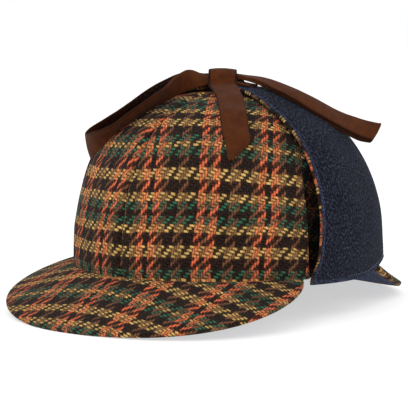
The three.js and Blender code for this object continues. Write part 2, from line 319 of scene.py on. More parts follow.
def add(tree: Tree, kind: str, links: dict | None = None, **settings) -> Node:
    """Adds a node.

    Args:
        tree: the material's node tree.
        kind: the node's type name.
        links: for each input, by name or number, a value, a socket, or a node for that node's first output.
        settings: the node's own properties.

    Returns:
        The new node.
    """
    node = tree.nodes.new(kind)
    for key, value in settings.items():
        setattr(node, key, value)
    for key, value in (links or {}).items():
        source = value.outputs[0] if isinstance(value, Node) else value
        if isinstance(source, bpy.types.NodeSocket):
            tree.links.new(source, node.inputs[key])
        else:
            node.inputs[key].default_value = source
    return node


def bare_material(name: str) -> tuple[Material, Tree]:
    """Starts a material.

    Args:
        name: what it is called.

    Returns:
        The material, and its node tree with no nodes.
    """
    material = bpy.data.materials.new(name)
    material.use_nodes = True
    material.node_tree.nodes.clear()
    return material, material.node_tree


# Dark, tan, coral, yellow and green.
DYES = {"D": "#281A14", "T": "#6E4730", "C": "#CC633F", "Y": "#C9A35F", "G": "#325C45"}


@dataclass(frozen=True)
class Threads:
    """One set of the cloth's threads, its warp or its weft."""

    axis: int  # 0 for the warp, whose numbers run across the cloth, and 1 for the weft
    pitch: float  # millimetres from one thread to the next
    lean: float  # how far a float leans across its thread's width, from end to end
    order: str  # the yarns as they come: each a dye's letter and its number of threads

    def dyed(self, t: Tree, number: Node) -> Node:
        """The colour of each thread.

        Args:
            t: the material's node tree.
            number: gives the thread's number.

        Returns:
            A ramp with one stop for each run of like threads.
        """
        runs = [(word[0], int(word[1:])) for word in self.order.split()]
        count = sum(threads for _, threads in runs)
        turn = add(t, MATH, {0: number, 1: 0.5}, operation="ADD")
        turn = add(t, MATH, {0: turn, 1: float(count)}, operation="FLOORED_MODULO")
        turn = add(t, MATH, {0: turn, 1: float(count)}, operation="DIVIDE")
        node = add(t, "ShaderNodeValToRGB", {0: turn})
        ramp = node.color_ramp
        ramp.interpolation = "CONSTANT"
        start = 0
        for index, (dye, threads) in enumerate(runs):
            place = start / count
            stop = ramp.elements[index] if index < 2 else ramp.elements.new(place)
            stop.position = place
            stop.color = linear(DYES[dye])
            start += threads
        return node


WARP = Threads(0, 1.5, 0.3, "D4 T4 D4 T3 C3 D2 C3 T3 D4 T4 D4 C3 T2 C3")
WEFT = Threads(1, 1.72, -0.34, "D4 Y4 D4 Y3 G3 D2 G3 Y3 D4 Y4 D4 G3 Y2 G3")


@dataclass(frozen=True)
class Tweed:
    """Woollen tweed, woven in two-and-two twill of thick yarns in five colours.

    Each float of yarn is a plump grain with painted shade in the gap round it and a painted highlight along it,
    painted light and shade lie on its two plies, the colour orders make a broken check,
    and loose fibres of each yarn lie over its neighbours, so that a yarn takes some of the crossing colour.
    """

    tone: float = 1.0  # under 1 to paint shade, where the cloth lies deep in a fold or is turned round an edge
    waver: float = 0.55  # millimetres by which the threads run out of true
    uneven: float = 0.25  # the share by which one float is paler or darker than the next
    bleed: float = 0.52  # the share of the crossing yarn's colour in a float
    least_bleed: float = 0.16  # what the dark yarn still takes of it
    weft_only: float = 0.6  # the share of the bleed that the warp, which is spun harder, is spared
    relief: float = 0.6  # height of a float, in millimetres
    twist: float = 0.16  # how much painted light and shade on its two plies darken and lighten a yarn
    fibre_along: float = 0.9  # how fast the fibres' noise changes along a yarn
    fibre_aside: float = 3.2  # and across it

    def make(self) -> Material:
        """Builds the material from the threads of the flat pattern."""
        material, t = bare_material(f"woollen_twill_tweed_{round(100 * self.tone)}")
        moved = self.wavering(t, add(t, "ShaderNodeUVMap", uv_map=CUT))
        split = add(t, "ShaderNodeSeparateXYZ", {0: moved})
        at = [add(t, MATH, {0: split.outputs[s.axis], 1: s.pitch}, operation="DIVIDE") for s in (WARP, WEFT)]
        number = [add(t, MATH, {0: a}, operation="FLOOR") for a in at]
        inside = [add(t, MATH, {0: a}, operation="FRACT") for a in at]
        # The twill: warp over two and under two, moved one thread on at every pick.
        step = add(t, MATH, {0: number[0], 1: number[1]}, operation="SUBTRACT")
        step = add(t, MATH, {0: step, 1: 4.0}, operation="FLOORED_MODULO")
        warp_over = add(t, MATH, {0: step, 1: 1.5}, operation="LESS_THAN")
        warp = self.float_of(t, WARP, step, number, inside, moved)
        weft = self.float_of(t, WEFT, step, number, inside, moved)
        height, ply_shade, fibre = (
            add(t, MIX, {"Factor": warp_over, "A": b, "B": a}) for a, b in zip(warp[:3], weft[:3])
        )
        tag = add(t, MIX, {"Factor": warp_over, 4: weft[3], 5: warp[3]}, data_type="VECTOR")
        own = add(t, "ShaderNodeTexWhiteNoise", {"Vector": tag.outputs[1]}, noise_dimensions="3D")
        dyes = [threads.dyed(t, number[threads.axis]) for threads in (WARP, WEFT)]
        dye = self.blended(t, dyes, warp_over, fibre)
        # Each piece of cloth is dyed a little unevenly, too.
        broad = add(t, NOISE, {"Vector": moved, "Scale": 0.09, "Detail": 3.0}, noise_dimensions="2D")
        colour = dye.outputs[2]
        for share in (
            {0: fibre, 1: 0.25, 2: 0.75, 3: 0.6, 4: 1.35},
            {0: broad, 1: 0.3, 2: 0.7, 3: 0.86, 4: 1.12},
            {0: own, 3: 1 - self.uneven, 4: 1 + self.uneven},
            # painted light and shade along the two plies
            {0: ply_shade, 1: -1.0, 3: 1 - self.twist, 4: 1 + self.twist},
            # painted shade round each float and a painted highlight along it, scaled by tone, whose values
            # under 1 paint shade
            {0: height, 1: 0.05, 2: 0.95, 3: 0.2 * self.tone, 4: 1.1 * self.tone},
        ):
            colour = add(t, VECTOR, {0: colour, "Scale": add(t, MAP, share)}, operation="SCALE")
        fuzz = add(t, MATH, {0: fibre, 1: 0.4, 2: height}, operation="MULTIPLY_ADD")
        bump = add(t, "ShaderNodeBump", {"Height": fuzz, "Distance": self.relief * MM, "Strength": 0.9})
        look = {"Base Color": colour, "Roughness": 0.95, "IOR": 1.45, "Specular IOR Level": 0.12}
        look |= {"Sheen Weight": 0.03, "Sheen Roughness": 0.5, "Normal": bump}
        add(t, OUTPUT, {0: add(t, SURFACE, look)})
        return material

    def wavering(self, t: Tree, place: Node) -> Node:
        """The flat pattern's places, moved broadly and finely, so that no thread runs quite true.

        Args:
            t: the material's node tree.
            place: gives the places.

        Returns:
            The node that gives the moved ones.
        """
        for scale, reach in ((0.05, 4 * self.waver), (0.45, self.waver)):
            noise = add(t, NOISE, {"Vector": place, "Scale": scale, "Detail": 1.0}, noise_dimensions="2D")
            shift = add(t, VECTOR, {0: noise.outputs["Color"], 1: (0.5, 0.5, 0.5)}, operation="SUBTRACT")
            shift = add(t, VECTOR, {0: shift, "Scale": reach}, operation="SCALE")
            place = add(t, VECTOR, {0: place, 1: shift}, operation="ADD")
        return place

    def float_of(
        self, t: Tree, threads: Threads, step: Node, number: list[Node], inside: list[Node], moved: Node
    ) -> tuple[Node, Node, Node, Node]:
        """What a float of one set of threads is like at a place.

        Args:
            t: the material's node tree.
            threads: the set.
            step: gives the place's step in the twill, from 0 to 3.
            number: give the warp's and the weft's thread numbers.
            inside: give the places across the two threads.
            moved: gives the place on the cloth.

        Returns:
            Nodes for its height, the painted light and shade of its plies, its fibres and a tag that no other
            float has.
        """
        own, other = threads.axis, 1 - threads.axis
        sign, start, mark = ((-1.0, 1.0, 3.0), (1.0, -2.0, 7.0))[own]
        # The share of the way along the float.
        run = add(t, MATH, {0: inside[other], 1: start}, operation="ADD")
        run = add(t, MATH, {0: step, 1: sign, 2: run}, operation="MULTIPLY_ADD")
        run = add(t, MATH, {0: run, 1: 0.5}, operation="MULTIPLY")
        # Fibres lie along the yarn, so their flecks are drawn out along it, and fray its edges.
        stretch = [self.fibre_aside, self.fibre_aside, 1.0]
        stretch[other] = self.fibre_along
        drawn = add(t, VECTOR, {0: moved, 1: stretch}, operation="MULTIPLY")
        noise = {"Vector": drawn, "Scale": 1.0, "Detail": 3.0, "Roughness": 0.62}
        fleck = add(t, NOISE, noise, noise_dimensions="2D")
        height, ply_shade = self.grain(t, run, inside[own], threads.lean, fleck)
        # A float's number is that of its thread and of its place along it.
        part = add(t, MATH, {0: step, 1: sign, 2: number[other]}, operation="MULTIPLY_ADD")
        tag = add(t, "ShaderNodeCombineXYZ", {own: number[own], other: part, 2: mark})
        return height, ply_shade, fleck, tag

    def grain(self, t: Tree, run: Node, across: Node, lean: float, fleck: Node) -> tuple[Node, Node]:
        """A float's height, from 0 round its edge to 1 along its middle, and the painted light and shade of its
        plies.

        Args:
            t: the material's node tree.
            run: the share of the way along the float.
            across: the place across its thread.
            lean: how far it leans over.
            fleck: the noise that frays its edges.

        Returns:
            The node that gives the height, and the one that gives the plies' painted light and shade, from -1
            to 1.
        """
        along = add(t, MATH, {0: run, 1: 2.0, 2: -1.0}, operation="MULTIPLY_ADD")
        aside = add(t, MATH, {0: across, 1: 2.0, 2: -1.0}, operation="MULTIPLY_ADD")
        aside = add(t, MATH, {0: along, 1: -lean, 2: aside}, operation="MULTIPLY_ADD")
        ragged = add(t, MATH, {0: fleck, 1: -0.5}, operation="ADD")
        aside = add(t, MATH, {0: ragged, 1: 0.9, 2: aside}, operation="MULTIPLY_ADD")
        along_2 = add(t, MATH, {0: along, 1: along}, operation="MULTIPLY")
        waist = add(t, MATH, {0: along_2, 1: -0.22, 2: 0.98}, operation="MULTIPLY_ADD")
        wide = add(t, MATH, {0: aside, 1: waist}, operation="DIVIDE")
        wide_2 = add(t, MATH, {0: wide, 1: wide}, operation="MULTIPLY")
        hump = add(t, MATH, {0: 1.0, 1: wide_2}, operation="SUBTRACT", use_clamp=True)
        swell = add(t, MATH, {0: along_2, 1: -0.8, 2: 1.0}, operation="MULTIPLY_ADD", use_clamp=True)
        product = add(t, MATH, {0: hump, 1: swell}, operation="MULTIPLY")
        height = add(t, MATH, {0: product, 1: 0.62}, operation="POWER")
        turn = add(t, MATH, {0: along, 1: 6.5}, operation="MULTIPLY")
        turn = add(t, MATH, {0: aside, 1: 2.6, 2: turn}, operation="MULTIPLY_ADD")
        return height, add(t, MATH, {0: turn}, operation="SINE")

    def blended(self, t: Tree, dyes: list[Node], warp_over: Node, fibre: Node) -> Node:
        """The upper yarn's colour, with some of the crossing one's.

        Args:
            t: the material's node tree.
            dyes: give the warp's and the weft's colours.
            warp_over: gives 1 where the warp lies on top.
            fibre: the noise of the loose fibres.

        Returns:
            The node that gives the colour.
        """
        under = add(t, MATH, {0: 1.0, 1: warp_over}, operation="SUBTRACT")
        bled = add(t, MAP, {0: fibre, 1: 0.3, 2: 0.7, 3: 0.3 * self.bleed, 4: 1.7 * self.bleed})
        # The dark yarn hardly shows on its neighbours, and hardly takes their colours.
        for yarn in dyes:
            grey = add(t, "ShaderNodeRGBToBW", {0: yarn})
            bright = add(t, MATH, {0: grey, 1: 9.0, 2: -0.1}, operation="MULTIPLY_ADD", use_clamp=True)
            bright = add(t, MATH, {0: bright, 1: self.least_bleed}, operation="MAXIMUM")
            bled = add(t, MATH, {0: bled, 1: bright}, operation="MULTIPLY")
        taken = add(t, MATH, {0: warp_over, 1: -self.weft_only, 2: 1.0}, operation="MULTIPLY_ADD")
        bled = add(t, MATH, {0: bled, 1: taken}, operation="MULTIPLY")
        share = add(t, MIX, {"Factor": bled, "A": warp_over, "B": under})
        return add(t, MIX, {"Factor": share, 6: dyes[1], 7: dyes[0]}, data_type="RGBA")


@dataclass(frozen=True)
class MilledWool:
    """Navy woollen cloth, milled until the weave is lost in a short felted nap with pale flecks."""

    name: str = "milled_navy_wool"
    ground: str = "#0E111C"
    deep: str = "#090A11"
    fleck: str = "#494D60"
    drawn: float = 0.66  # how far its slubs are drawn out up the piece
    relief: float = 0.35  # height of the nap, in millimetres

    def make(self) -> Material:
        """Builds the material on the flat pattern, with its slubs running up the piece."""
        material, t = bare_material(self.name)
        place = add(t, "ShaderNodeUVMap", uv_map=CUT)
        up = add(t, VECTOR, {0: place, 1: (1.0, self.drawn, 1.0)}, operation="MULTIPLY")
        nap, slub, broad = (
            add(t, NOISE, {"Vector": v, "Scale": s, "Detail": d, "Roughness": r}, noise_dimensions="2D")
            for v, s, d, r in ((place, 1.2, 4.0, 0.7), (up, 0.88, 4.0, 0.74), (place, 0.06, 3.0, 0.5))
        )
        dark = add(t, MAP, {0: nap, 1: 0.38, 2: 0.62})
        light = add(t, MAP, {0: slub, 1: 0.49, 2: 0.76, 4: 0.95})
        cloth = add(t, MIX, {"Factor": dark, 6: linear(self.deep), 7: linear(self.ground)}, data_type="RGBA")
        cloth = add(t, MIX, {"Factor": light, 6: cloth.outputs[2], 7: linear(self.fleck)}, data_type="RGBA")
        tone = add(t, MAP, {0: broad, 1: 0.3, 2: 0.7, 3: 0.86, 4: 1.14})
        colour = add(t, VECTOR, {0: cloth.outputs[2], "Scale": tone}, operation="SCALE")
        height = add(t, MATH, {0: nap, 1: slub}, operation="ADD")
        bump = add(t, "ShaderNodeBump", {"Height": height, "Distance": self.relief * MM, "Strength": 0.6})
        look = {"Base Color": colour, "Roughness": 0.95, "IOR": 1.45, "Specular IOR Level": 0.1}
        look |= {"Sheen Weight": 0.03, "Sheen Roughness": 0.4, "Sheen Tint": linear("#8C93B8")}
        add(t, OUTPUT, {0: add(t, SURFACE, look | {"Normal": bump})})
        return material


@dataclass(frozen=True)
class Leather:
    """Soft oiled brown leather with a close suede-like nap, and cut edges a little darker."""

    face: str = "#4E260B"
    shade: str = "#3D1B07"
    edge: str = "#190802"
    half_width: float = 8.0
    relief: float = 0.22  # depth of the pores, in millimetres

    def make(self) -> Material:
        """Builds the material: across the strap is the pattern's first way, along it the second."""
        material, t = bare_material("oiled_brown_leather")
        place = add(t, "ShaderNodeUVMap", uv_map=CUT)
        split = add(t, "ShaderNodeSeparateXYZ", {0: place})
        grain, cloud = (
            add(t, NOISE, {"Vector": place, "Scale": s, "Detail": 4.0, "Roughness": r}, noise_dimensions="2D")
            for s, r in ((2.4, 0.65), (0.16, 0.5))
        )
        pores = add(t, "ShaderNodeTexVoronoi", {"Vector": place, "Scale": 1.6}, voronoi_dimensions="2D")
        mottle = add(t, MATH, {0: grain, 1: cloud}, operation="ADD")
        mottle = add(t, MAP, {0: mottle, 1: 0.75, 2: 1.25})
        face = add(t, MIX, {"Factor": mottle, 6: linear(self.shade), 7: linear(self.face)}, data_type="RGBA")
        side = add(t, MATH, {0: split}, operation="ABSOLUTE")
        rim = add(t, MAP, {0: side, 1: self.half_width - 1.0, 2: self.half_width + 0.2})
        face = add(t, MIX, {"Factor": rim, 6: face.outputs[2], 7: linear(self.edge)}, data_type="RGBA")
        height = add(t, MATH, {0: pores, 1: 0.5, 2: grain}, operation="MULTIPLY_ADD")
        bump = add(t, "ShaderNodeBump", {"Height": height, "Distance": self.relief * MM, "Strength": 0.5})
        look = {"Base Color": face.outputs[2], "Roughness": 0.8, "IOR": 1.5, "Specular IOR Level": 0.08}
        look |= {"Sheen Weight": 0.02, "Sheen Roughness": 0.5, "Normal": bump}
        add(t, OUTPUT, {0: add(t, SURFACE, look)})
        return material


@dataclass(frozen=True)
class Thread:
    """Spun sewing thread: a plain dyed cotton with a faint twist."""

    name: str
    colour: str

    def make(self) -> Material:
        """Builds the material, striped along each stitch with painted light and shade from its twist."""
        material, t = bare_material(self.name)
        place = add(t, "ShaderNodeUVMap", uv_map=CUT)
        twist = add(t, "ShaderNodeTexWave", {"Vector": place, "Scale": 1.3, "Distortion": 0.6})
        # painted light and shade along the twist
        shade = add(t, MAP, {0: twist.outputs[1], 3: 0.7, 4: 1.1})
        colour = add(t, VECTOR, {0: linear(self.colour)[:3], "Scale": shade}, operation="SCALE")
        look = {"Base Color": colour, "Roughness": 0.75, "IOR": 1.45}
        add(t, OUTPUT, {0: add(t, SURFACE, look)})
        return material


@dataclass(frozen=True)
class Finishes:
    """Every material of the hat, made once."""

    tweed: Material
    flap_tweed_painted_shade: Material
    fold_tweed_painted_shade: Material
    wool: Material
    edge_wool: Material
    painted_light_wool: Material
    leather: Material
    blue_thread: Material
    pale_thread: Material

    @staticmethod
    def make() -> "Finishes":
        """Builds them all."""
        return Finishes(
            Tweed().make(),
            # The flaps' tweed, at 72% brightness: painted shade on their turned edges and insides.
            Tweed(0.72).make(),
            # The tweed in the fold beside each flap, at 16% brightness: painted shade.
            Tweed(0.16).make(),
            MilledWool().make(),
            MilledWool("paler_navy_wool_edge", "#232738", "#141722", "#555A70").make(),
            # The peaks' lining: a paler copy of the navy wool, painted light on the peaks' undersides.
            MilledWool("navy_wool_painted_light", "#3E445A", "#2A2F42", "#6C738C").make(),
            Leather().make(),
            Thread("blue_cotton_thread", "#4E567A").make(),
            Thread("grey_cotton_thread", "#8A90A0").make(),
        )


# ---------------------------------------------------------------- stitches


@dataclass(frozen=True)
class StitchRow:
    """A row of plain stitches of spun thread along a line."""

    length: float = 2.3
    pitch: float = 3.1
    thickness: float = 0.42
    sides: int = 6
    steps: int = 5
    blunt: float = 0.94  # how near to its point each stitch is cut off

    def sew(self, shell: Shell, line: Array, finish: int) -> None:
        """Adds the stitches to a shell, each a slim spindle half sunk in the cloth.

        Args:
            shell: the mesh that takes them.
            line: the points of the line in order, in millimetres.
            finish: the number of their material.
        """
        lengths = lengths_along(line)
        turn = np.linspace(0, math.tau, self.sides, endpoint=False)
        share = np.linspace(-self.blunt, self.blunt, self.steps)
        radius = self.thickness / 2 * np.sqrt(1 - share**2)
        for start in np.arange(0.5 * self.pitch, lengths[-1] - self.length, self.pitch):
            along = np.linspace(start, start + self.length, self.steps)
            middle = np.stack([np.interp(along, lengths, line[:, k]) for k in range(3)], -1)
            way = unit(middle[-1] - middle[0])
            side = unit(np.cross(way, [0.13, 0.21, 0.97]))
            up = np.cross(side, way)
            ring = np.cos(turn)[:, None] * side + np.sin(turn)[:, None] * up
            points = middle[:, None] + radius[:, None, None] * ring[None]
            cuts = np.stack(np.broadcast_arrays(turn[None] / 3, along[:, None]), -1)
            numbers = shell.grid(points, cuts, finish, around=True)
            for row in (numbers[0], numbers[-1][::-1]):
                shell.quads(row[0:1], row[1:2], row[2:3], row[3:4], finish)
                shell.quads(row[0:1], row[3:4], row[4:5], row[5:6], finish)


# ---------------------------------------------------------------- crown


@dataclass(frozen=True)
class Weave:
    """How the cloth lies on a gore: straight up one line, its level threads eased over the shoulder.

    The gore dips its level threads towards its seams, by more the higher they are.
    """

    middle: float  # the bearing of the warp thread that stands straight up
    warp: float  # that thread's number
    sag: float = 0.0  # the share of the dip that even the middle has
    seam: float = 32.0  # degrees from the middle to where the dip is whole
    weft_heights: tuple[float, ...] = (0.0, 16.7, 29.6, 48.4, 61.9, 75.9, 82.2, 100.5, 111.8, 150.0)
    weft_threads: tuple[float, ...] = (-3.6, 6.0, 13.5, 24.5, 32.0, 39.2, 42.0, 52.0, 59.5, 80.0)
    dip_heights: tuple[float, ...] = (0.0, 30.0, 48.0, 62.0, 82.0, 100.0, 112.0, 150.0)
    dips: tuple[float, ...] = (1.8, 2.3, 2.8, 3.3, 4.2, 3.3, 2.2, 1.0)
    lean_heights: tuple[float, ...] = (5.0, 22.0, 38.0, 90.0, 105.0, 150.0)
    leans: tuple[float, ...] = (2.6, 1.8, 0.0, 0.2, 0.8, 1.0)

    @staticmethod
    def heights(rise: Array) -> Array:
        """How far up the crown's curve each rise is, from the rim, in millimetres."""
        rises = np.linspace(0, 90, 400)
        return np.interp(rise, rises, lengths_along(DOME.at(np.full(400, 20.0), rises, 0)))

    def cut(self, points: Array, toward: Array, rise: Array) -> Array:
        """Each point's place on the cloth.

        Args:
            points: places on the dome, in millimetres.
            toward: their bearings, in degrees.
            rise: their rises, in degrees.

        Returns:
            Distances across and up the cloth, in millimetres.
        """
        aside = (toward - self.middle + 180) % 360 - 180
        up = self.heights(rise)
        dip = np.interp(up, self.dip_heights, self.dips) * mix((aside / self.seam) ** 2, 1, self.sag)
        weft = np.interp(up + dip, self.weft_heights, self.weft_threads)
        across = np.radians(aside) * np.linalg.norm(points[..., :2], axis=-1)
        warp = self.warp + across / WARP.pitch + np.interp(up, self.lean_heights, self.leans)
        return np.stack([warp * WARP.pitch, weft * WEFT.pitch], -1)


class Gore(Enum):
    """The crown's four gores: the bearing of the first seam, and how the cloth lies."""

    FRONT_LEFT = (0.0, Weave(31.5, 40.8))
    BACK_LEFT = (90.0, Weave(148.5, 18.0))
    BACK_RIGHT = (180.0, Weave(211.5, 27.0))
    FRONT_RIGHT = (270.0, Weave(332.0, -3.6, 0.8))


@dataclass(frozen=True)
class SideTuck:
    """How the crown is drawn in under each flap, which leaves a deep fold along the flap's front edge."""

    depth: float = 13.0
    front: tuple[float, float] = (70.2, 74.2)
    rear: tuple[float, float] = (112.0, 132.0)
    rim_share: float = 0.35
    foot: float = 6.0
    top: tuple[float, float] = (15.0, 43.0)

    def at(self, toward: Array, rise: Array) -> Array:
        """The depth at bearings and rises.

        Args:
            toward: the bearings, in degrees.
            rise: the rises, in degrees.

        Returns:
            How far the crown is drawn in at each, in millimetres.
        """
        side = np.abs((np.asarray(toward) + 180) % 360 - 180)
        across = smooth(side, *self.front) * (1 - smooth(side, *self.rear))
        up = mix(self.rim_share, 1, smooth(rise, 0, self.foot)) * (1 - smooth(rise, *self.top))
        return self.depth * across * up


@dataclass(frozen=True)
class Crown:
    """The crown: four gores of tweed, seamed at the front, the back and under the flaps, lined inside."""

    finishes: Finishes
    wall: float = 2.3
    seam_half_gap: float = -0.03  # under nothing, so that no light comes through a seam
    seam_depth: float = 1.5
    seam_width: float = 1.5
    welt: tuple[float, float, float] = (0.45, 5.5, 3.5)  # height, distance from the seam and width
    pucker: float = 0.28
    pucker_pitch: float = 9.0
    pucker_reach: float = 6.0  # how far from the seam it fades
    wander: tuple[float, float] = (2.2, 45)  # how far out of step it runs, and over what length
    calm_rim: float = 26.0  # height at which the cloth's unevenness is whole
    calm_top: tuple[float, float] = (1, 14)  # degrees from the top between which it comes in
    hem: tuple[float, float] = (0.9, 1.3)  # how far the rim is drawn in, and how high up
    unevenness: tuple[tuple[float, float, int], ...] = ((0.55, 62, 3), (0.25, 27, 11))
    in_fold: float = 1.6  # millimetres of tuck from which the cloth lies in the fold and is darkened as painted shade
    columns: int = 130
    rows: int = 110
    rises: tuple[float, float] = (-1.0, 89.3)
    tuck: SideTuck = SideTuck()

    def build(self) -> None:
        """Makes the four gores."""
        f = self.finishes
        for number, gore in enumerate(Gore):
            shell = Shell()
            self.gore(shell, *gore.value, number)
            place = gore.name.lower()
            nodes = [f"crown_{place}_panel"]
            shell.piece(f"crown_gore_{place}", nodes, [f.tweed, f.wool, f.fold_tweed_painted_shade])

    def spread_columns(self, start: float) -> Array:
        """Where the columns of points stand, crowded at the seams and at the folds under the flaps.

        Args:
            start: the bearing of the gore's first seam.

        Returns:
            Shares of the way across the gore, from 0 to 1.
        """
        fine = np.linspace(0, 1, 2000)
        side = np.abs((start + 90 * fine + 180) % 360 - 180)
        to_seam = np.minimum(fine, 1 - fine) * 90
        to_fold = side - sum(self.tuck.front) / 2
        density = 1 + 4.5 * ridge(to_seam, 0, 3) + 5 * ridge(to_fold, 0, 2.4)
        total = np.cumsum(density) - density[0]
        return np.interp(np.linspace(0, 1, self.columns), total / total[-1], fine)

    def gore(self, shell: Shell, start: float, weave: Weave, seed: int) -> None:
        """Adds one gore, from its seam at bearing start to the next a quarter turn on.

        Args:
            shell: the mesh that takes it.
            start: the bearing of its first seam.
            weave: how its cloth lies.
            seed: picks its unevenness.
        """
        up = np.linspace(0, 1, self.rows)
        up = mix(up, up**1.6, 0.25)
        rise = mix(*self.rises, up[:, None]) + np.zeros(self.columns)
        first = DOME.at(np.full(self.rows, start), rise[:, 0], 0)
        radius = np.maximum(np.linalg.norm(first[:, :2], axis=1), 1e-3)
        gap = np.degrees(np.arcsin(np.minimum(self.seam_half_gap / radius, 0.5)))[:, None]
        toward = start + mix(gap, 90 - gap, self.spread_columns(start)[None])
        base = DOME.at(toward, rise, 0.0)
        height = base[..., 2]
        tuck = self.tuck.at(toward, rise)
        to_seam = np.radians(np.minimum(toward - start, start + 90 - toward)) * radius[:, None]
        tall, aside, wide = self.welt
        seam = self.seam_depth * ridge(to_seam, 0, self.seam_width) - tall * ridge(to_seam, aside, wide)
        along = height * math.tau / self.pucker_pitch
        swerve = self.wander[0] * ripple(base, self.wander[1], 40 + seed)
        seam = seam - self.pucker * np.exp(-to_seam / self.pucker_reach) * np.sin(along + swerve)
        hem = self.hem[0] * ridge(height, 0, self.hem[1])
        soft = sum(size * ripple(base, wave, pick) for size, wave, pick in self.unevenness)
        lift = soft * smooth(height, 0, self.calm_rim) * smooth(90 - rise, *self.calm_top) - seam - hem - tuck
        outer = DOME.at(toward, rise, lift)
        inner = DOME.at(toward, rise, -self.wall - tuck + 0.2 * seam)
        # Faces deep in the fold beside each flap take the tweed at 16% brightness: painted shade.
        painted_shade_faces = np.where(tuck[:-1, :-1] > self.in_fold, 2, 0)
        shell.slab(outer, inner, weave.cut(base, toward, rise), (painted_shade_faces, 1))


# ---------------------------------------------------------------- peaks


@dataclass(frozen=True)
class PeakShape:
    """The size and form of one peak."""

    facing: float
    half_spread: float
    reach: float
    drop: float
    blunt: float
    end: float
    arch: float
    first_weft: float
    first_warp: float
    curve: float  # under 1 where the peak falls faster by the rim
    hem: float  # width of tweed turned to the underside


class PeakPlace(Enum):
    """The two peaks."""

    FRONT = PeakShape(0, 68.6, 46.5, 24.4, 3.2, 0.8, 12.4, 6.0, 22.0, 1.0, 1.6)
    REAR = PeakShape(180, 59, 32, 25.2, 2.4, 0.75, 0, 3.0, 22.0, 0.8, 0.5)


